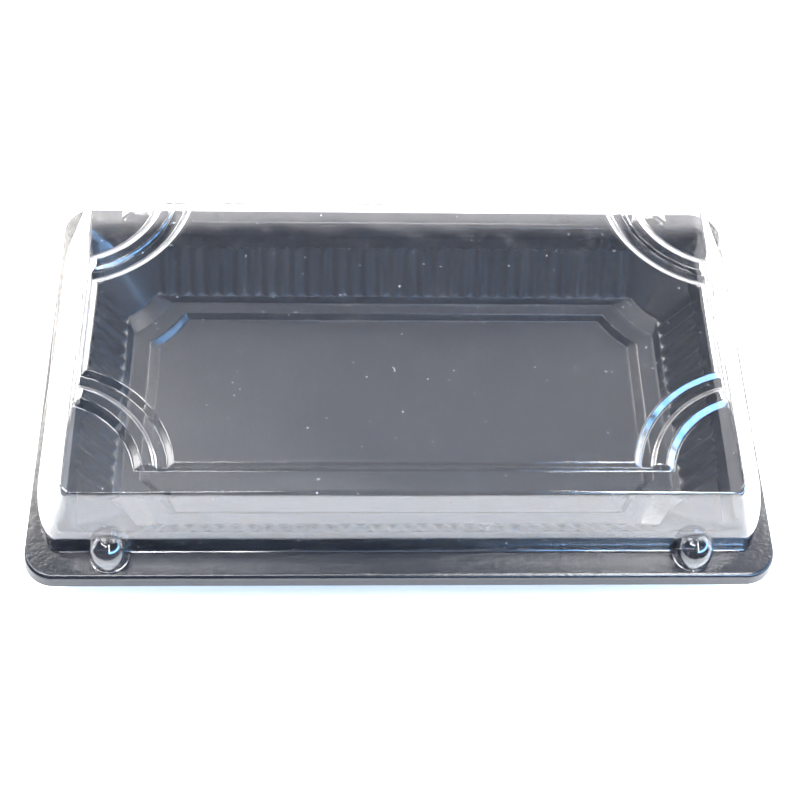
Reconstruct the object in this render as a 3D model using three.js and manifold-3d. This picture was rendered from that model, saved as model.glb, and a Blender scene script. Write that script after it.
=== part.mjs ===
// Takeaway sushi tray: a black formed base with a fluted well, and a clear raised lid that snaps over it.
// Millimetres, +Z up, +X along the long side, -Y to the front; the tray stands on z = 0.
import * as THREE from "three";
import { mergeVertices } from "three/addons/utils/BufferGeometryUtils.js";
import Module from "manifold-3d";

// Driving dimensions
const SHEET = 0.5;
const CLEARANCE = 0.35;
const RIM_HALF = { x: 92.5, y: 57.5 };
const RIM_CORNER = 8;
const RIM_HEIGHT = 17;
const LIP_DROP = 3.5;
const RIM_EDGE = 0.8;

// The lid's foot goes round the bead of the base, both with the same long soft corners
const FOOT_HALF = { x: 90, y: 50.3 };
const FOOT_CORNER = { x: 6.5, y: 18 };
const BEAD_HEIGHT = 4.9;
const BEAD_GAP = 1.2;
const BEAD_ROUND = 0.5;
const SKIRT_HEIGHT = BEAD_HEIGHT + CLEARANCE + SHEET;

// The well of the base, from its mouth down to the panel that it stands on
const MOUTH_HALF = { x: 85.2, y: 47 };
const MOUTH_CORNER = 4;
const FLUTE_TOP_HALF = { x: 82.8, y: 45.6 };
const FLUTE_TOP_CORNER = 3;
const FLUTE_TOP_HEIGHT = 19.4;
const FLUTE_FOOT_HALF = { x: 74, y: 35.8 };
const FLUTE_FOOT_HEIGHT = 4;
const FLUTE_DEPTH = 1.2;
const FLUTE_END = { foot: 0.7, top: 2.4 };
const FLUTES = { long: 34, short: 15 };
const BAND_HALF = { x: 72.4, y: 34.7 };
const BAND_HEIGHT = 2.2;
const BAND_INNER_HALF = { x: 68, y: 31.6 };
const BAND_INNER_HEIGHT = 2.1;
const PANEL_HALF = { x: 65.2, y: 30.2 };

// Every bitten corner is an arc about a point near the corner of the well
const BITE_CENTRE = { x: 85.3, y: 46 };
const PANEL_BITE = 31.7;
const BAND_INNER_BITE = 29.8;
const BAND_BITE = 26;
const FLUTE_BITE = 20.5;

// The lid: a shoulder with a raised plateau on it. At each corner the plateau is cut back by an arc,
// and past a shallow groove an arched rib stands between it and the shoulder's corner.
const LID_TOP = 41.7;
const PLATEAU_RISE = 1.9;
const GROOVE_DEPTH = 1.1;
const RIB_DEPTH = 0.5;
const PLATEAU_HALF = { x: 77.1, y: 39 };
const PLATEAU_BEVEL = { x: 2.4, y: 1.2 };
const PLATEAU_CORNER = 1;
const PLATEAU_SINK = 1.1;
const STEP_CENTRE = { x: 85.3, y: 43.5 };
const PLATEAU_ARC = { top: 31.3, foot: 30.1 };
const RIB_ARC = { back: 27.6, backTop: 26.4, top: 24.4, foot: 21.8 };
const SHOULDER_HALF = { x: 80.4, y: 46.4 };
const SHOULDER_CORNER = 1.6;
const SHOULDER_EDGE = { in: 0.4, down: 0.7 };
const WALL_FOOT_HALF = { x: 89.5, y: 49.8 };
const KNOB_PLACE = { x: 71.2, y: 51 };
const KNOB_RADIUS = 4.8;
const KNOB_STRAIGHT = 3;

// How finely the curves are cut
const KNOB_SIDES = 24;
const KNOB_RINGS = 6;
const ARC_SIDES = 56;
const CORNER_STEPS = 6;
const FLUTE_STEPS = 2;
const EDGE_STEPS = 2;

// The inner face of a shallow slope lies this share of the sheet further in; a corner is never sharper
// than the least radius; a mitre reaches no further than its limit; the weld joins points that meet.
const SLOPE_INSET = 0.4;
const LEAST_CORNER = 0.3;
const MITRE_LIMIT = 0.6;
const WELD = 1e-4;

const wasm = await Module();
wasm.setup();

// An outline is one quarter, described by where its two straight sides end and by the corner between them.
// roundCorner turns outwards on an ellipse; bittenCorner is cut back by an arc about a centre.
function roundCorner(half, radius, z, start) {
  const r = typeof radius === "number" ? { x: radius, y: radius } : radius;
  const from = start ?? { x: half.x - r.x, y: half.y - r.y };
  const corner = [];
  for (let i = 0; i <= CORNER_STEPS; i++) {
    const a = ((i / CORNER_STEPS) * Math.PI) / 2;
    corner.push([half.x - r.x * (1 - Math.cos(a)), half.y - r.y * (1 - Math.sin(a))]);
  }
  if (start) {
    corner.unshift([half.x, from.y]);
    corner.push([from.x, half.y]);
  }
  return { half, start: from, corner, z };
}

function bittenCorner(half, centre, radius, z) {
  const start = {
    x: centre.x - Math.sqrt(radius ** 2 - (centre.y - half.y) ** 2),
    y: centre.y - Math.sqrt(radius ** 2 - (centre.x - half.x) ** 2),
  };
  const a0 = Math.atan2(start.y - centre.y, half.x - centre.x);
  const a1 = Math.atan2(half.y - centre.y, start.x - centre.x);
  const turn = ((a1 - a0 + 3 * Math.PI) % (2 * Math.PI)) - Math.PI;
  const corner = [];
  for (let i = 0; i <= CORNER_STEPS; i++) {
    const a = a0 + (turn * i) / CORNER_STEPS;
    corner.push([centre.x + radius * Math.cos(a), centre.y + radius * Math.sin(a)]);
  }
  return { half, start, corner, z };
}

// The straight sides of a fluted outline swing out once for each flute. An outline of no depth next to one
// has the same points, and an outline without a depth has none.
function flutes(count, depth) {
  const steps = depth === undefined ? 1 : count * FLUTE_STEPS;
  const places = [];
  for (let i = 1; i < steps; i++) {
    const push = depth * Math.sin((Math.PI * (i % FLUTE_STEPS)) / FLUTE_STEPS);
    places.push({ at: i / steps, push });
  }
  return places;
}

// The whole closed outline, counter-clockwise from the middle of the right side's lower end.
// Each point keeps its place round the outline, from 0 to 8: even numbers start a side, odd ones a corner.
function loop(outline, depth) {
  const { half, start, corner, z } = outline;
  const points = [];
  const add = (x, y, place) => points.push({ v: new THREE.Vector3(x, y, z), place });
  for (let quarter = 0; quarter < 4; quarter++) {
    const upright = quarter % 2 === 0;
    const sx = quarter === 0 || quarter === 3 ? 1 : -1;
    const sy = quarter < 2 ? 1 : -1;
    const length = 2 * (upright ? start.y : start.x);
    for (const { at, push } of flutes(upright ? FLUTES.short : FLUTES.long, depth)) {
      const along = (at - 0.5) * length;
      if (upright) add(sx * (half.x + push), sx * along, 2 * quarter + at);
      else add(-sy * along, sy * (half.y + push), 2 * quarter + at);
    }
    const arc = upright ? corner : [...corner].reverse();
    arc.forEach(([x, y], i) => add(sx * x, sy * y, 2 * quarter + 1 + i / (arc.length - 1)));
  }
  return points;
}

// Triangles that join two loops, going up through their places together.
function zip(inner, outer, triangles) {
  const n = inner.length;
  const m = outer.length;
  const next = (points, i) => (i + 1 < points.length ? points[i + 1].place : 8 + points[0].place);
  let i = 0;
  let j = 0;
  while (i < n || j < m) {
    const a = inner[i % n].v;
    const b = outer[j % m].v;
    if (j >= m || (i < n && next(inner, i) <= next(outer, j))) {
      triangles.push(a, b, inner[(i + 1) % n].v);
      i++;
    } else {
      triangles.push(a, b, outer[(j + 1) % m].v);
      j++;
    }
  }
}

function cap(points, triangles, facingUp) {
  const flat = points.map(({ v }) => new THREE.Vector2(v.x, v.y));
  for (const [a, b, c] of THREE.ShapeUtils.triangulateShape(flat, [])) {
    const order = facingUp ? [a, b, c] : [a, c, b];
    order.forEach((k) => triangles.push(points[k].v));
  }
}

// The triangles between loops that go outwards, facing up, or turned over to face down
function skin(loops, turned) {
  const triangles = [];
  for (let i = 0; i + 1 < loops.length; i++) zip(loops[i], loops[i + 1], triangles);
  return turned ? triangles.reverse() : triangles;
}

// A closed body under a profile of loops: solid down to its last loop, or a sheet with its own lower face
function bodyOf(above, below = []) {
  const triangles = [...skin(above, false), ...skin(below, true)];
  const edge = above[above.length - 1];
  cap(above[0], triangles, true);
  if (below.length) zip(edge, below[below.length - 1], triangles);
  cap(below[0] ?? edge, triangles, false);
  return new THREE.BufferGeometry().setFromPoints(triangles);
}

// How far each step of a profile moves, out and down, so that the far face lies one sheet below it.
function sheetShift(profile, thickness) {
  const flat = profile.map(({ half, z, corner }) => {
    const mid = corner[Math.floor(corner.length / 2)];
    return new THREE.Vector2((half.x + half.y + (mid[0] + mid[1]) / Math.SQRT2) / 3, z);
  });
  return flat.map((p, i) => {
    const before = p.clone().sub(flat[i - 1] ?? p).normalize();
    const after = (flat[i + 1] ?? p).clone().sub(p).normalize();
    if (i === 0) before.set(1, 0);
    if (i === flat.length - 1) after.copy(before);
    const down = (d) => new THREE.Vector2(d.y, -d.x);
    const mitre = down(before).add(down(after)).normalize();
    const reach = thickness / Math.max(MITRE_LIMIT, mitre.dot(down(before)));
    return mitre.multiplyScalar(reach);
  });
}

// Every step of a profile is a function of how far it is pushed out and lifted.
function evenly(profile, thickness) {
  const shift = sheetShift(profile.map((make) => make(0, 0)), thickness);
  return profile.map((make, i) => make(shift[i].x, shift[i].y));
}

const grown = (half, out) => ({ x: half.x + out, y: half.y + out });
const shrunk = (half, by) => grown(half, -by);
const round = (half, radius, z, start) => (out, up) =>
  roundCorner(
    grown(half, out),
    typeof radius === "number" ? Math.max(radius + out, LEAST_CORNER) : grown(radius, out),
    z + up,
    start && start(out),
  );
const bitten = (half, centre, radius, z) => (out, up) =>
  bittenCorner(grown(half, out), centre, radius - out, z + up);

function solidOf(geometry) {
  const bare = geometry.clone();
  bare.deleteAttribute("normal");
  bare.deleteAttribute("uv");
  const merged = mergeVertices(bare, WELD);
  return new wasm.Manifold(
    new wasm.Mesh({
      numProp: 3,
      vertProperties: merged.attributes.position.array,
      triVerts: new Uint32Array(merged.index.array),
    }),
  );
}

function geometryOf(solid) {
  const mesh = solid.getMesh();
  const geometry = new THREE.BufferGeometry();
  geometry.setAttribute("position", new THREE.BufferAttribute(mesh.vertProperties, 3));
  geometry.setIndex(new THREE.BufferAttribute(mesh.triVerts, 1));
  geometry.computeVertexNormals();
  return geometry;
}

// The flange's outer edge, rounded from its top over to its side
function rimEdge() {
  const steps = [];
  for (let i = 0; i <= EDGE_STEPS; i++) {
    const a = ((i / EDGE_STEPS) * Math.PI) / 2;
    const inwards = RIM_EDGE * (1 - Math.sin(a));
    const z = RIM_HEIGHT - RIM_EDGE * (1 - Math.cos(a));
    steps.push({ make: round(shrunk(RIM_HALF, inwards), RIM_CORNER - inwards, z) });
  }
  return steps;
}

// The well, from the panel up: level band, sloping foot, and the fluted wall up to its mouth
function wellSteps() {
  const flutesStart = (out) => bitten(FLUTE_FOOT_HALF, BITE_CENTRE, FLUTE_BITE, 0)(out, 0).start;
  const slope = (FLUTE_TOP_HALF.y - FLUTE_FOOT_HALF.y) / (FLUTE_TOP_HEIGHT - FLUTE_FOOT_HEIGHT);
  const footIn = FLUTE_END.foot * slope;
  const topIn = FLUTE_END.top * slope;
  const lowBite = FLUTE_BITE - footIn;
  const low = FLUTE_FOOT_HEIGHT + FLUTE_END.foot;
  const high = FLUTE_TOP_HEIGHT - FLUTE_END.top;
  return [
    { make: bitten(PANEL_HALF, BITE_CENTRE, PANEL_BITE, SHEET) },
    { make: bitten(BAND_INNER_HALF, BITE_CENTRE, BAND_INNER_BITE, BAND_INNER_HEIGHT) },
    { make: bitten(BAND_HALF, BITE_CENTRE, BAND_BITE, BAND_HEIGHT) },
    { make: bitten(FLUTE_FOOT_HALF, BITE_CENTRE, FLUTE_BITE, FLUTE_FOOT_HEIGHT), depth: 0 },
    { make: bitten(grown(FLUTE_FOOT_HALF, footIn), BITE_CENTRE, lowBite, low), depth: FLUTE_DEPTH },
    { make: round(shrunk(FLUTE_TOP_HALF, topIn), FLUTE_TOP_CORNER, high, flutesStart), depth: FLUTE_DEPTH },
    { make: round(FLUTE_TOP_HALF, FLUTE_TOP_CORNER, FLUTE_TOP_HEIGHT, flutesStart), depth: 0 },
  ];
}

// The bead round the mouth of the well, down to the flange
function beadSteps() {
  const half = shrunk(FOOT_HALF, BEAD_GAP);
  const corner = shrunk(FOOT_CORNER, BEAD_GAP);
  const top = RIM_HEIGHT + BEAD_HEIGHT;
  return [
    { make: round(MOUTH_HALF, MOUTH_CORNER, top) },
    { make: round(shrunk(half, 2 * BEAD_ROUND), shrunk(corner, 2 * BEAD_ROUND), top) },
    { make: round(shrunk(half, BEAD_ROUND), shrunk(corner, BEAD_ROUND), top - BEAD_ROUND) },
    { make: round(half, corner, RIM_HEIGHT) },
  ];
}

// The base: one formed sheet from the panel in the middle out to the down-turned lip of the flange
function trayBase() {
  const lip = RIM_HEIGHT - LIP_DROP;
  const steps = [...wellSteps(), ...beadSteps(), ...rimEdge(), { make: round(RIM_HALF, RIM_CORNER, lip) }];
  const makes = steps.map(({ make }) => make);
  const above = evenly(makes, 0).map((outline, i) => loop(outline, steps[i].depth));
  const below = evenly(makes, SHEET).map((outline, i) => loop(outline, steps[i].depth));
  below[below.length - 1].forEach(({ v }) => v.setZ(lip));
  return bodyOf(above, below);
}

// What an arc cuts from the plateau at a corner: a turned body whose underside has the groove and the rib.
function cornerCutter(sheet, x, y) {
  const groove = LID_TOP - GROOVE_DEPTH;
  const rib = LID_TOP - RIB_DEPTH;
  const shoulder = LID_TOP - PLATEAU_RISE;
  const over = LID_TOP + PLATEAU_RISE;
  const section = [
    [0, shoulder],
    [RIB_ARC.foot, shoulder],
    [RIB_ARC.top, rib],
    [RIB_ARC.backTop, rib],
    [RIB_ARC.back, groove],
    [PLATEAU_ARC.foot, groove],
    [PLATEAU_ARC.top, LID_TOP],
    [PLATEAU_ARC.top, over],
    [0, over],
  ];
  const points = section.map(([r, z]) => new THREE.Vector2(r ? r + SLOPE_INSET * sheet : 0, z - sheet));
  points.push(points[0].clone());
  const cutter = new THREE.LatheGeometry(points, ARC_SIDES);
  cutter.rotateX(Math.PI / 2);
  cutter.translate(x, y, 0);
  return solidOf(cutter);
}

const everyCorner = (place, make) =>
  [-1, 1].flatMap((sx) => [-1, 1].map((sy) => make(sx * place.x, sy * place.y)));

// The plateau as a slab with bevelled sides, reaching a little below the shoulder that it stands on
function plateauSlab(sheet) {
  const outlines = [0, PLATEAU_SINK].map((share) => {
    const half = {
      x: PLATEAU_HALF.x + share * PLATEAU_BEVEL.x - SLOPE_INSET * sheet,
      y: PLATEAU_HALF.y + share * PLATEAU_BEVEL.y - SLOPE_INSET * sheet,
    };
    return roundCorner(half, PLATEAU_CORNER, LID_TOP - share * PLATEAU_RISE - sheet);
  });
  const slab = solidOf(bodyOf(outlines.map((outline) => loop(outline))));
  const cutters = everyCorner(STEP_CENTRE, (x, y) => cornerCutter(sheet, x, y));
  return cutters.reduce((left, cutter) => left.subtract(cutter), slab);
}

// The lid as a filled form: its outer face, or the inner one a sheet further in.
function lidForm(sheet, foot) {
  const { in: inwards, down } = SHOULDER_EDGE;
  const shoulder = LID_TOP - PLATEAU_RISE;
  const profile = [
    round(shrunk(SHOULDER_HALF, inwards), SHOULDER_CORNER - inwards, shoulder),
    round(SHOULDER_HALF, SHOULDER_CORNER, shoulder - down),
    round(WALL_FOOT_HALF, FOOT_CORNER, RIM_HEIGHT + SKIRT_HEIGHT),
    round(FOOT_HALF, FOOT_CORNER, RIM_HEIGHT + CLEARANCE),
  ];
  const loops = evenly(profile, sheet).map((outline) => loop(outline));
  loops[loops.length - 1].forEach(({ v }) => v.setZ(foot));
  return solidOf(bodyOf(loops)).add(plateauSlab(sheet));
}

// A snap button: an upright cylinder with a domed top, standing half out of the skirt.
function knobForm(radius, foot, x, y) {
  const profile = [new THREE.Vector2(0, foot), new THREE.Vector2(radius, foot)];
  const spring = RIM_HEIGHT + KNOB_STRAIGHT;
  for (let i = 0; i < KNOB_RINGS; i++) {
    const a = ((i / KNOB_RINGS) * Math.PI) / 2;
    profile.push(new THREE.Vector2(radius * Math.cos(a), spring + radius * Math.sin(a)));
  }
  profile.push(new THREE.Vector2(0, spring + radius));
  const knob = new THREE.LatheGeometry(profile, KNOB_SIDES);
  knob.rotateX(Math.PI / 2);
  knob.translate(x, y, 0);
  return solidOf(knob);
}

function lid() {
  const foot = RIM_HEIGHT + CLEARANCE;
  const withKnobs = (form, radius, low) => {
    const knobs = everyCorner(KNOB_PLACE, (x, y) => knobForm(radius, low, x, y));
    return knobs.reduce((all, knob) => all.add(knob), form);
  };
  const outer = withKnobs(lidForm(0, foot), KNOB_RADIUS, foot);
  const lower = foot - 2 * SHEET;
  const inner = withKnobs(lidForm(SHEET, lower), KNOB_RADIUS - SHEET, lower);
  return geometryOf(outer.subtract(inner));
}

const blackPlastic = new THREE.MeshStandardMaterial({ color: 0x17181c, roughness: 0.22, metalness: 0 });
const clearPlastic = new THREE.MeshStandardMaterial({
  color: 0xf4f7fb,
  roughness: 0.06,
  metalness: 0,
  transparent: true,
  opacity: 0.25,
});

const base = new THREE.Mesh(geometryOf(solidOf(trayBase())), blackPlastic);
base.name = "tray_base";
const cover = new THREE.Mesh(lid(), clearPlastic);
cover.name = "lid";

const tray = new THREE.Group();
tray.add(base, cover);
export default tray;
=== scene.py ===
# An empty takeaway sushi tray: glossy black formed base and clear formed lid.
# Sizes are in millimetres until a mesh is made.
import math

import bpy
import numpy as np
from mathutils import Matrix, Vector


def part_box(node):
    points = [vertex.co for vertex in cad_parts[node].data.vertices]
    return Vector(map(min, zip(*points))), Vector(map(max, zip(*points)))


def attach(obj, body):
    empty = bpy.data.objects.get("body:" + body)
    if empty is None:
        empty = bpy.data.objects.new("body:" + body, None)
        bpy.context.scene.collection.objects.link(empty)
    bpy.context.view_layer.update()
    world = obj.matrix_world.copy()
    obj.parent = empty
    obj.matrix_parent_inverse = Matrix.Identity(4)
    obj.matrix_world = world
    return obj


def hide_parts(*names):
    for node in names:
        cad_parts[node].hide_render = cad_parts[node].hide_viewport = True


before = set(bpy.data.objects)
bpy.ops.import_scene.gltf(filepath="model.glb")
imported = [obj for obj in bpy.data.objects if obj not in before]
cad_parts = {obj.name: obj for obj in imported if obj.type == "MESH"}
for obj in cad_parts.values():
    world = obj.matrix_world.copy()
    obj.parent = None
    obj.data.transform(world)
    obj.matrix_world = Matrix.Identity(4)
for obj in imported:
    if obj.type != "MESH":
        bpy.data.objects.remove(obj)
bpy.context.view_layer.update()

MM = 0.001
base_high = [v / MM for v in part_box("tray_base")[1]]
lid_low, lid_high = [[v / MM for v in corner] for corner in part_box("lid")]

# Base, from the flange inwards
SHEET = 0.4
RIM_HALF = (base_high[0], base_high[1])
RIM_HEIGHT = 17.0
RIM_CORNER = 8.0
LIP_DROP = 3.5
LIP_SLOPE = 0.5
FLANGE = (2.5, 7.2)
FOOT_HALF = (RIM_HALF[0] - FLANGE[0], RIM_HALF[1] - FLANGE[1])
FOOT_CORNER = (6.5, 18.0)
BEAD_GAP = 1.2
BEAD_SLOPE = 0.4
BEAD_TOP = base_high[2]
MOUTH_HALF = (85.2, 47.0)
MOUTH_CORNER = 4.0
FLUTE_TOP_HALF = (82.8, 45.6)
FLUTE_TOP_HEIGHT = 19.4
FLUTE_TOP_CORNER = MOUTH_CORNER - 1
FLUTE_FOOT_HALF = (74.0, 35.8)
FLUTE_FOOT_HEIGHT = 4.0
FLUTE_DEPTH = 1.0
LONG_FLUTES = 34
SHORT_FLUTES = 15
BAND_HALF = (72.4, 34.7)
BAND_INNER_HALF = (68.0, 31.6)
BAND_HEIGHT = 2.2
BAND_TILT = 0.1
PANEL_HALF = (65.2, 30.2)

# A flute swells from nothing over these heights, and is nearly full after this share of them
FLUTE_END_LOW = 0.8
FLUTE_END_HIGH = 2.4
FLUTE_SWELL = 0.35
NEARLY_FULL = 0.8

# Every bitten corner of the base is an arc about this point
BITE_CENTRE = (85.3, 46.0)
PANEL_BITE = 31.7
BAND_INNER_BITE = 29.8
BAND_BITE = 26.0
FLUTE_BITE = 20.5

# Lid; an arc's ring lies a share of the way down the plateau's bevel along the straight sides
LID_TOP = lid_high[2]
PLATEAU_RISE = 1.9
GROOVE_DEPTH = 1.2
RIB_DEPTH = 0.5
PLATEAU_HALF = (77.1, 39.0)
PLATEAU_BEVEL = (2.4, 1.2)
STEP_CENTRE = (85.3, 43.5)
PLATEAU_ARC = (31.4, 29.9)
RIB_ARC = (27.3, 26.6, 23.8, 21.9)
GROOVE_SHARE = (0.58, 0.62)
RIB_SHARE = (0.66, 0.70)
SHOULDER_HALF = (80.4, 46.4)
SHOULDER_CORNER = 1.6
WALL_FOOT_HALF = (89.5, 49.8)
SKIRT_TOP = RIM_HEIGHT + 5.75
LID_FOOT = lid_low[2]

# Snap buttons
KNOB_PLACE = (71.2, 51.0)
KNOB_RADIUS = lid_high[1] - KNOB_PLACE[1]
KNOB_STRAIGHT = 3.0
KNOB_POINTS = 64
DOME_STEPS = 13

# How far each edge is rounded off
PANEL_EDGE = 0.5
BAND_EDGE = 0.7
STRIP_EDGE = 0.6
FLUTE_TOP_EDGE = 0.3
MOUTH_EDGE = 0.9
BEAD_EDGE = 0.6
BEAD_FOOT_EDGE = 0.7
RIM_EDGE = 1.2
PLATEAU_EDGE = 0.4
ARC_EDGE = 0.35
RIB_FOOT_EDGE = 0.45
SHOULDER_EDGE = 1.7
SKIRT_EDGE = 1.2

# Points round an outline, and steps round an edge, which takes less than half of the face next to it
LONG_SIDE = LONG_FLUTES * 7
SHORT_SIDE = SHORT_FLUTES * 7
CORNER = 56
FILLET_STEPS = 4
FILLET_REACH = 0.48
LEVEL_RING = 1.5

# Creases sharper than these angles stay sharp
BASE_CREASE = 40
LID_CREASE = 32

# Camera, in millimetres and degrees
CAMERA_PLACE = (-16.3, -208.1, 341.0)
CAMERA_ELEVATION = 58.0
CAMERA_YAW = 4.667
CAMERA_ROLL = 4.097
PHOTO_SIDE = 800
FOCAL_PIXELS = 1465
SENSOR = 36.0

# Colours of the light
LAMP_AMBER = (1, 0.75, 0.4)
WARM_WHITE = (1, 0.96, 0.9)
COOL_WHITE = (0.8, 0.92, 1.2)
BACKDROP_WHITE = (1.05, 1, 0.96)
SKY_BLUE = (0.17, 0.5, 1)
DIM_ROOM = (0.085, 0.1, 0.14)
FLOOR_HALF = 3.0


# Outlines

def closer_at_ends():
    """Shares from 0 to 1 for the points of a corner, closer together where it meets the straight sides."""
    return (1 - np.cos(math.pi * np.arange(CORNER) / (CORNER - 1))) / 2


def round_corner(half, radius, start=None):
    """A quarter of an outline, from the right side to the back, whose corner is an ellipse's quarter.

    A start gives the ends of the straight sides, and the points are then spread between them.
    """
    rx, ry = radius if isinstance(radius, tuple) else (radius, radius)
    turn = math.pi / 2 * closer_at_ends()
    x = half[0] - rx * (1 - np.cos(turn))
    y = half[1] - ry * (1 - np.sin(turn))
    if start is None:
        return x, y
    reach = np.r_[start[1], y, half[1]]
    across = np.r_[half[0], x, start[0]]
    length = np.r_[0, np.cumsum(np.hypot(np.diff(across), np.diff(reach)))]
    places = length[-1] * closer_at_ends()
    return np.interp(places, length, across), np.interp(places, length, reach)


def bitten_corner(half, centre, radius):
    """A quarter of an outline, from the right side to the back, whose corner is cut back by an arc."""
    first = math.atan2(-math.sqrt(radius ** 2 - (centre[0] - half[0]) ** 2), half[0] - centre[0])
    last = math.atan2(half[1] - centre[1], -math.sqrt(radius ** 2 - (centre[1] - half[1]) ** 2))
    if last > 0:
        last -= 2 * math.pi
    turn = first + (last - first) * closer_at_ends()
    return centre[0] + radius * np.cos(turn), centre[1] + radius * np.sin(turn)


def side(length, count, flutes, half, depth):
    """Points along a straight side, swinging out in scallops where the side is fluted."""
    share = np.arange(1, count) / count
    push = depth * 0.5 * (1 - np.cos(2 * math.pi * flutes * share))
    return (share - 0.5) * length, half + push


def loop(corner, z, depth=0.0):
    """The whole outline as an array of points, counter-clockwise from the lower end of the right side."""
    cx, cy = corner
    half = (cx[0], cy[-1])
    up, right = side(2 * cy[0], SHORT_SIDE, SHORT_FLUTES, half[0], depth)
    along, back = side(2 * cx[-1], LONG_SIDE, LONG_FLUTES, half[1], depth)
    x = np.r_[right, cx, -along, -cx[::-1], -right, -cx, along, cx[::-1]]
    y = np.r_[up, cy, back, cy[::-1], -up, -cy, -back, -cy[::-1]]
    return np.c_[x, y, np.full(len(x), float(z))]


def filleted(stations):
    """Loops with every station but the first and last rounded off; a station is a loop and its radius."""
    loops = [stations[0][0]]
    for i in range(1, len(stations) - 1):
        here, radius = stations[i]
        if not radius:
            loops.append(here)
            continue
        ends = []
        for other in (stations[i - 1][0], stations[i + 1][0]):
            way = other - here
            length = np.maximum(np.linalg.norm(way, axis=1), 1e-6)
            share = np.minimum(FILLET_REACH, radius / length)[:, None]
            ends.append(here + way * share)
        for k in range(FILLET_STEPS + 1):
            t = k / FILLET_STEPS
            loops.append((1 - t) ** 2 * ends[0] + 2 * t * (1 - t) * here + t ** 2 * ends[1])
    loops.append(stations[-1][0])
    return loops


def normals_of(loops):
    """Unit normals of the face that the loops span, pointing up on a level one."""
    grid = np.array(loops)
    round_way = np.roll(grid, -1, axis=1) - np.roll(grid, 1, axis=1)
    out_way = np.gradient(grid, axis=0)
    normal = np.cross(out_way, round_way)
    return normal / np.maximum(np.linalg.norm(normal, axis=2, keepdims=True), 1e-9)


def grown(half, out):
    return half[0] + out, half[1] + out


# Meshes

def mesh_object(name, loops):
    """A closed mesh from loops; the first and last are filled with a flat face."""
    count = len(loops[0])
    last = (len(loops) - 1) * count
    points = np.concatenate(loops) * MM
    faces = []
    for a in range(0, last, count):
        b = a + count
        for k in range(count):
            n = (k + 1) % count
            faces.append((a + k, b + k, b + n, a + n))
    faces.append(tuple(range(count)))
    faces.append(tuple(last + k for k in reversed(range(count))))
    mesh = bpy.data.meshes.new(name)
    mesh.from_pydata(points.tolist(), [], faces)
    mesh.update()
    piece = bpy.data.objects.new(name, mesh)
    bpy.context.scene.collection.objects.link(piece)
    return piece


def smooth(piece, degrees):
    """Smooth shading in which a wide face keeps its own direction next to a narrow rounded edge."""
    piece.data.shade_smooth()
    piece.data.set_sharp_from_angle(angle=math.radians(degrees))
    weighted = piece.modifiers.new("weighted", "WEIGHTED_NORMAL")
    weighted.mode = "FACE_AREA"
    weighted.keep_sharp = True


def combine(piece, other, operation):
    """Applies a boolean of two closed meshes and removes the second."""
    cut = piece.modifiers.new("cut", "BOOLEAN")
    cut.operation = operation
    cut.solver = "MANIFOLD"
    cut.object = other
    graph = bpy.context.evaluated_depsgraph_get()
    made = bpy.data.meshes.new_from_object(piece.evaluated_get(graph))
    piece.modifiers.clear()
    piece.data = made
    bpy.data.objects.remove(other)


# Base

def bitten_base(half, radius, z, depth=0.0):
    return loop(bitten_corner(half, BITE_CENTRE, radius), z, depth)


def fluted_wall():
    """Stations up the fluted wall, whose bitten corner at the foot turns into a round one at the top."""
    foot_x, foot_y = bitten_corner(FLUTE_FOOT_HALF, BITE_CENTRE, FLUTE_BITE)
    start = (foot_x[-1], foot_y[0])
    run = (FLUTE_TOP_HALF[1] - FLUTE_FOOT_HALF[1]) / (FLUTE_TOP_HEIGHT - FLUTE_FOOT_HEIGHT)
    foot_out = FLUTE_END_LOW * run
    top_in = FLUTE_END_HIGH * run

    def low(share, depth, edge=0):
        out = foot_out * share
        height = FLUTE_FOOT_HEIGHT + FLUTE_END_LOW * share
        return bitten_base(grown(FLUTE_FOOT_HALF, out), FLUTE_BITE - out, height, depth), edge

    def high(share, depth, edge=0):
        corner = round_corner(grown(FLUTE_TOP_HALF, -top_in * share), FLUTE_TOP_CORNER, start)
        return loop(corner, FLUTE_TOP_HEIGHT - FLUTE_END_HIGH * share, depth), edge

    return [
        low(0, 0.0, STRIP_EDGE),
        low(FLUTE_SWELL, FLUTE_DEPTH * NEARLY_FULL),
        low(1, FLUTE_DEPTH),
        high(1, FLUTE_DEPTH),
        high(FLUTE_SWELL, FLUTE_DEPTH * NEARLY_FULL),
        high(0, 0.0, FLUTE_TOP_EDGE),
    ]


def base_stations():
    bead = grown(FOOT_HALF, -BEAD_GAP)
    bead_corner = grown(FOOT_CORNER, -BEAD_GAP)

    def rounded(half, radius, z):
        return loop(round_corner(half, radius), z)

    return [
        (bitten_base(grown(PANEL_HALF, -LEVEL_RING), PANEL_BITE + LEVEL_RING, SHEET), 0),
        (bitten_base(PANEL_HALF, PANEL_BITE, SHEET), PANEL_EDGE),
        (bitten_base(BAND_INNER_HALF, BAND_INNER_BITE, BAND_HEIGHT - BAND_TILT), PANEL_EDGE),
        (bitten_base(BAND_HALF, BAND_BITE, BAND_HEIGHT), BAND_EDGE),
        *fluted_wall(),
        (rounded(MOUTH_HALF, MOUTH_CORNER, BEAD_TOP), MOUTH_EDGE),
        (rounded(grown(bead, -BEAD_SLOPE), grown(bead_corner, -BEAD_SLOPE), BEAD_TOP), BEAD_EDGE),
        (rounded(bead, bead_corner, RIM_HEIGHT), BEAD_FOOT_EDGE),
        (rounded(grown(RIM_HALF, -LIP_SLOPE), RIM_CORNER - LIP_SLOPE, RIM_HEIGHT), RIM_EDGE),
        (rounded(RIM_HALF, RIM_CORNER, RIM_HEIGHT - LIP_DROP), 0),
    ]


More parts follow.
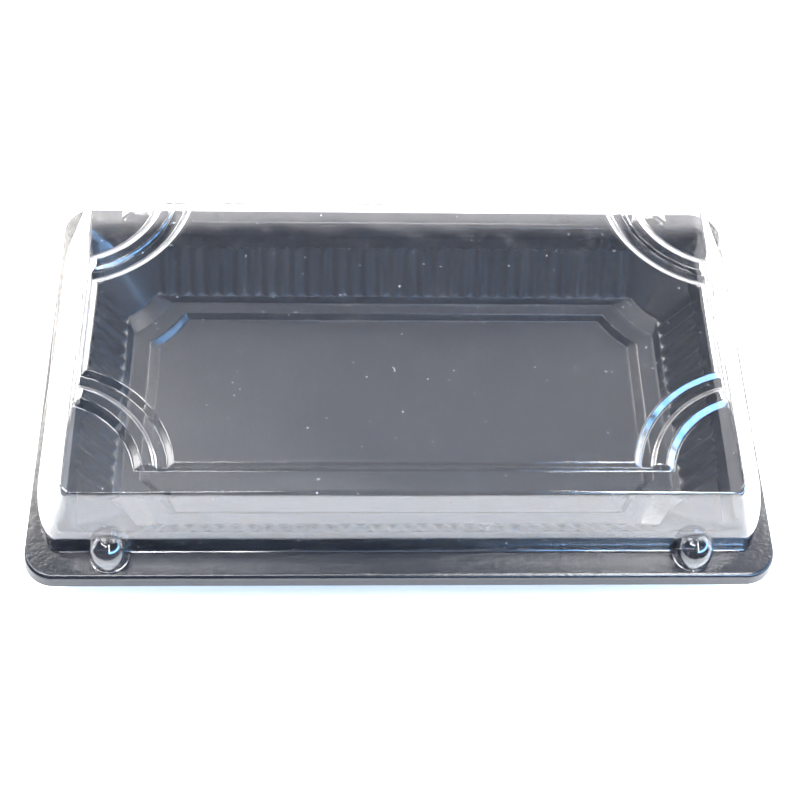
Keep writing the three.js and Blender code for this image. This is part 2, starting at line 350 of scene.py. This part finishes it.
def tray_base():
    above = filleted(base_stations())
    below = [a - n * SHEET for a, n in zip(above, normals_of(above))]
    below[-1][:, 2] = above[-1][0, 2]
    piece = mesh_object("black_base", above + below[::-1])
    smooth(piece, BASE_CREASE)
    return piece


# Lid

def lid_stations():
    def arched(share, radius, depth, inset=0.0):
        """An outline part of the way down the plateau's bevel, whose corners lie at their own depth."""
        half = [PLATEAU_HALF[k] + share * PLATEAU_BEVEL[k] - inset for k in (0, 1)]
        points = loop(bitten_corner(half, STEP_CENTRE, radius + inset), LID_TOP - depth)
        down = np.max((np.abs(points[:, :2]) - PLATEAU_HALF) / PLATEAU_BEVEL, axis=1)
        bevel = LID_TOP - PLATEAU_RISE * np.clip(down, 0, 1)
        points[:, 2] = np.minimum(points[:, 2], bevel)
        return points

    def rounded(half, radius, z):
        return loop(round_corner(half, radius), z)

    return [
        (arched(0, PLATEAU_ARC[0], 0, LEVEL_RING), 0),
        (arched(0, PLATEAU_ARC[0], 0), PLATEAU_EDGE),
        (arched(GROOVE_SHARE[0], PLATEAU_ARC[1], GROOVE_DEPTH), ARC_EDGE),
        (arched(GROOVE_SHARE[1], RIB_ARC[0], GROOVE_DEPTH), ARC_EDGE),
        (arched(RIB_SHARE[0], RIB_ARC[1], RIB_DEPTH), ARC_EDGE),
        (arched(RIB_SHARE[1], RIB_ARC[2], RIB_DEPTH), ARC_EDGE),
        (arched(1, RIB_ARC[3], PLATEAU_RISE), RIB_FOOT_EDGE),
        (rounded(SHOULDER_HALF, SHOULDER_CORNER, LID_TOP - PLATEAU_RISE), SHOULDER_EDGE),
        (rounded(WALL_FOOT_HALF, FOOT_CORNER, SKIRT_TOP), SKIRT_EDGE),
        (rounded(FOOT_HALF, FOOT_CORNER, LID_FOOT), 0),
    ]


def lid_form(name, inset, foot):
    """The lid filled in: its outer face, or the inner one a sheet further in."""
    loops = filleted(lid_stations())
    loops = [a - n * inset for a, n in zip(loops, normals_of(loops))]
    loops[-1][:, 2] = foot
    return mesh_object(name, loops)


def knob_form(name, radius, foot, x, y):
    """A snap button: an upright cylinder with a domed top."""
    rings = [(radius, foot), (radius, RIM_HEIGHT + KNOB_STRAIGHT)]
    for k in range(1, DOME_STEPS):
        rise = k / DOME_STEPS * math.pi / 2
        rings.append((radius * math.cos(rise), RIM_HEIGHT + KNOB_STRAIGHT + radius * math.sin(rise)))
    turn = np.linspace(0, 2 * math.pi, KNOB_POINTS, endpoint=False)
    loops = []
    for r, z in reversed(rings):
        loops.append(np.c_[x + r * np.cos(turn), y + r * np.sin(turn), np.full(KNOB_POINTS, z)])
    return mesh_object(name, loops)


def clear_lid():
    """The outer form with the inner one taken out, which reaches past the foot to leave it open."""
    past_foot = LID_FOOT - 1
    outer = lid_form("clear_lid", 0.0, LID_FOOT)
    inner = lid_form("lid_inside", SHEET, past_foot)
    for sx in (-1, 1):
        for sy in (-1, 1):
            x = sx * KNOB_PLACE[0]
            y = sy * KNOB_PLACE[1]
            combine(outer, knob_form("knob", KNOB_RADIUS, LID_FOOT, x, y), "UNION")
            combine(inner, knob_form("knob_inside", KNOB_RADIUS - SHEET, past_foot, x, y), "UNION")
    combine(outer, inner, "DIFFERENCE")
    smooth(outer, LID_CREASE)
    return outer


# Finishes

class Flow:
    """A value on its way through a node tree; arithmetic on flows adds Math nodes."""

    def __init__(self, nodes, socket):
        self.nodes = nodes
        self.socket = socket

    def __add__(self, other):
        return self.nodes.math("ADD", self, other)

    def __sub__(self, other):
        return self.nodes.math("SUBTRACT", self, other)

    def __rsub__(self, other):
        return self.nodes.math("SUBTRACT", other, self)

    def __mul__(self, other):
        return self.nodes.math("MULTIPLY", self, other)

    __radd__ = __add__
    __rmul__ = __mul__


class Nodes:
    """A node tree whose nodes are all made by one method."""

    def __init__(self, tree):
        self.tree = tree

    def put(self, socket, value):
        if isinstance(value, Flow):
            self.tree.links.new(value.socket, socket)
        else:
            socket.default_value = value

    def node(self, kind, settings=None, inputs=None, output=0):
        made = self.tree.nodes.new(kind)
        for key, value in (settings or {}).items():
            setattr(made, key, value)
        for key, value in (inputs or {}).items():
            self.put(made.inputs[key], value)
        return Flow(self, made.outputs[output])

    def math(self, operation, a, b):
        return self.node("ShaderNodeMath", {"operation": operation}, {0: a, 1: b})

    def vector_math(self, operation, inputs, output=0):
        return self.node("ShaderNodeVectorMath", {"operation": operation}, inputs, output)

    def between(self, value, low, high, start=0.0, end=1.0, ease="SMOOTHSTEP"):
        """The value's stretch from low to high, mapped smoothly from start to end."""
        inputs = {"Value": value, "From Min": low, "From Max": high, "To Min": start, "To Max": end}
        return self.node("ShaderNodeMapRange", {"interpolation_type": ease}, inputs)


class Finish(Nodes):
    """A material on one Principled shader."""

    def __init__(self, name):
        self.material = bpy.data.materials.new(name)
        self.material.use_nodes = True
        super().__init__(self.material.node_tree)
        self.shader = self.tree.nodes["Principled BSDF"]

    def place(self):
        return self.node("ShaderNodeTexCoord", output="Object")

    def stretched(self, place, x, y, z):
        return self.node("ShaderNodeMapping", {}, {"Vector": place, "Scale": (x, y, z)})

    def noise(self, place, per_metre, detail=2.0, roughness=0.5):
        inputs = {"Vector": place, "Scale": per_metre, "Detail": detail, "Roughness": roughness}
        return self.node("ShaderNodeTexNoise", {}, inputs, output="Fac")

    def blend(self, share, low, high):
        return self.node("ShaderNodeMix", {"data_type": "RGBA"}, {0: share, 6: low, 7: high}, output=2)

    def bump(self, height, distance):
        return self.node("ShaderNodeBump", {}, {"Height": height, "Distance": distance})

    def shade(self, **sockets):
        for key, value in sockets.items():
            self.put(self.shader.inputs[key.replace("_", " ")], value)
        return self.material

    def veil(self, share, **sockets):
        """Mixes a share of a second shader over the first one."""
        inputs = {key.replace("_", " "): value for key, value in sockets.items()}
        over = self.node("ShaderNodeBsdfPrincipled", {}, inputs)
        under = Flow(self, self.shader.outputs[0])
        mixed = self.node("ShaderNodeMixShader", {}, {0: share, 1: under, 2: over})
        self.put(self.tree.nodes["Material Output"].inputs[0], mixed)


def black_plastic():
    """Glossy black sheet, duller on the panel, the band and the fluted wall."""
    finish = Finish("black_formed_sheet")
    place = finish.place()
    cloud = finish.noise(place, 22, 3)
    peel = finish.noise(place, 900, 3, 0.6)
    grain = finish.noise(place, 4200, 2, 0.7)
    height = finish.node("ShaderNodeSeparateXYZ", {}, {"Vector": place}, output="Z")
    panel = finish.between(height, 0.5 * MM, 0.7 * MM, 1, 0)
    band_foot = finish.between(height, 1.95 * MM, 2.08 * MM)
    band = band_foot * finish.between(height, 2.3 * MM, 2.6 * MM, 1, 0)
    wall = finish.between(height, 3.5 * MM, 5 * MM) - finish.between(height, 15.5 * MM, 16.5 * MM)
    colour = finish.blend(cloud, (0.008, 0.0095, 0.013, 1), (0.012, 0.014, 0.019, 1))
    rough = 0.08 + 0.06 * cloud + 0.09 * peel + 0.28 * (panel + band) + 0.3 * wall
    normal = finish.bump(peel + 0.3 * grain, 0.00006)
    return finish.shade(Base_Color=colour, Roughness=rough, Normal=normal, IOR=1.51)


def clear_plastic():
    """Clear sheet under a faint haze, with specks of dust on it."""
    finish = Finish("clear_formed_sheet")
    place = finish.place()
    flow = finish.noise(finish.stretched(place, 1, 1, 0.4), 28, 2)
    cloud = finish.noise(place, 160, 4, 0.6)
    colour = finish.blend(flow, (0.97, 0.98, 1.0, 1), (0.99, 0.985, 0.99, 1))
    rough = 0.015 + 0.05 * finish.between(cloud, 0.45, 0.8)
    normal = finish.bump(flow, 0.00004)
    specks = finish.between(finish.noise(place, 1100, 0), 0.84, 0.88)
    grain = finish.between(finish.noise(place, 3600, 1), 0.45, 0.75)
    haze = 0.001 + 0.006 * cloud + 0.012 * grain + 0.3 * specks
    finish.veil(haze, Base_Color=(0.8, 0.84, 0.95, 1), Roughness=0.7)
    return finish.shade(
        Base_Color=colour, Roughness=rough, Normal=normal, IOR=1.5, Transmission_Weight=1.0)


# Stage

def camera():
    tilt, yaw, roll = (math.radians(a) for a in (CAMERA_ELEVATION, CAMERA_YAW, CAMERA_ROLL))
    look = np.array((math.sin(yaw) * math.cos(tilt), math.cos(yaw) * math.cos(tilt), -math.sin(tilt)))
    right = np.array((math.cos(yaw), -math.sin(yaw), 0.0))
    up = np.cross(right, look)
    turned_right = right * math.cos(roll) + up * math.sin(roll)
    turned_up = up * math.cos(roll) - right * math.sin(roll)
    data = bpy.data.cameras.new("photo_camera")
    data.sensor_width = SENSOR
    data.lens = SENSOR * FOCAL_PIXELS / PHOTO_SIDE
    data.clip_start = 0.01
    made = bpy.data.objects.new("photo_camera", data)
    matrix = Matrix.Identity(4)
    for row in range(3):
        matrix[row][0] = turned_right[row]
        matrix[row][1] = turned_up[row]
        matrix[row][2] = -look[row]
        matrix[row][3] = CAMERA_PLACE[row] * MM
    made.matrix_world = matrix
    bpy.context.scene.collection.objects.link(made)
    bpy.context.scene.camera = made


def floor():
    half = FLOOR_HALF
    mesh = bpy.data.meshes.new("floor")
    corners = [(-half, -half, 0), (half, -half, 0), (half, half, 0), (-half, half, 0)]
    mesh.from_pydata(corners, [], [(0, 1, 2, 3)])
    made = bpy.data.objects.new("floor", mesh)
    bpy.context.scene.collection.objects.link(made)
    finish = Finish("pale_floor")
    colour = finish.blend(finish.noise(finish.place(), 6), (0.86, 0.86, 0.87, 1), (0.9, 0.9, 0.9, 1))
    mesh.materials.append(finish.shade(Base_Color=colour, Roughness=0.6))


def fill_light(name, place, size, brightness):
    """A wide warm lamp that lights the floor and isn't mirrored; its power follows from its size."""
    data = bpy.data.lights.new(name, "AREA")
    data.shape = "DISK"
    data.size = size
    data.energy = brightness * math.pi * size ** 2 / 4 * math.pi
    data.color = LAMP_AMBER
    made = bpy.data.objects.new(name, data)
    made.location = place
    made.rotation_euler = (-Vector(place)).to_track_quat("-Z", "Y").to_euler()
    made.visible_glossy = False
    made.visible_transmission = False
    bpy.context.scene.collection.objects.link(made)


class Room(Nodes):
    """What the glossy sheets mirror: a dim room with soft lit areas, each a cone about a direction."""

    def __init__(self):
        world = bpy.data.worlds.new("studio")
        world.use_nodes = True
        bpy.context.scene.world = world
        super().__init__(world.node_tree)
        self.way = self.node("ShaderNodeTexCoord", output="Generated")
        self.total = None

    def area(self, direction, inner, outer, strength, colour=(1, 1, 1)):
        """Full strength within the inner angle from the direction, none past the outer one."""
        towards = tuple(Vector(direction).normalized())
        aligned = self.vector_math("DOT_PRODUCT", {0: self.way, 1: towards}, "Value")
        none_at, full_at = (math.cos(math.radians(angle)) for angle in (outer, inner))
        amount = self.between(aligned, none_at, full_at, 0.0, strength, "SMOOTHERSTEP")
        tint = self.vector_math("SCALE", {0: colour, "Scale": amount})
        self.total = self.vector_math("ADD", {0: self.total, 1: tint}) if self.total else tint

    def light(self, dim):
        made = self.vector_math("ADD", {0: self.total, 1: dim})
        self.put(self.tree.nodes["Background"].inputs["Color"], made)


def studio_room():
    room = Room()
    # The ceiling over the tray, and a lighter patch of it further back
    room.area((0, 0.17, 0.98), 13, 30, 0.2, COOL_WHITE)
    room.area((-0.15, 0.35, 0.92), 5, 14, 0.7)
    # The pale backdrop, which fills the half of the room behind and below a slanting plane
    room.area((0, 0.7817, -0.6236), 89.2, 90.4, 2.8, BACKDROP_WHITE)
    # Lamps high at the back, one on the left and two on the right
    room.area((-0.37, 0.6, 0.71), 5, 12, 48, WARM_WHITE)
    room.area((0.5, 0.45, 0.74), 5, 14, 7)
    room.area((0.47, 0.6, 0.65), 5, 9, 130, WARM_WHITE)
    # A row of small lamps overhead, running forward
    for k in range(4):
        room.area((0.2, 0.1 - 0.17 * k, 0.96 - 0.07 * k), 2, 4, 90)
    # A curved row of small lamps, from the back left to overhead
    for direction in ((-0.52, 0.36, 0.78), (-0.44, 0.18, 0.88), (-0.3, 0.02, 0.95), (-0.12, -0.1, 0.99)):
        room.area(direction, 2, 6, 40)
    # A blue band of window with a white core, rising from the right round to the front
    for k in range(9):
        turn = math.radians(18 - 11 * k)
        direction = (math.cos(turn), math.sin(turn), 0.3 + 0.085 * k)
        room.area(direction, 4, 8, 18, SKY_BLUE)
        room.area(direction, 1, 6, 4)
    # Soft light low on both sides
    room.area((-0.9, 0.5, 0.05), 15, 32, 4)
    room.area((0.9, 0.5, 0.05), 15, 32, 4)
    room.light(DIM_ROOM)


def dress(piece, node, material):
    piece.data.materials.clear()
    piece.data.materials.append(material)
    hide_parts(node)
    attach(piece, "root")


camera()
floor()
fill_light("far_fill", (0.1, -0.4, 1.2), 1.4, 1.92)
fill_light("near_fill", (0.4, -0.3, 0.4), 0.4, 4)
studio_room()
bpy.context.scene.view_settings.view_transform = "Standard"

dress(tray_base(), "tray_base", black_plastic())
dress(clear_lid(), "lid", clear_plastic())
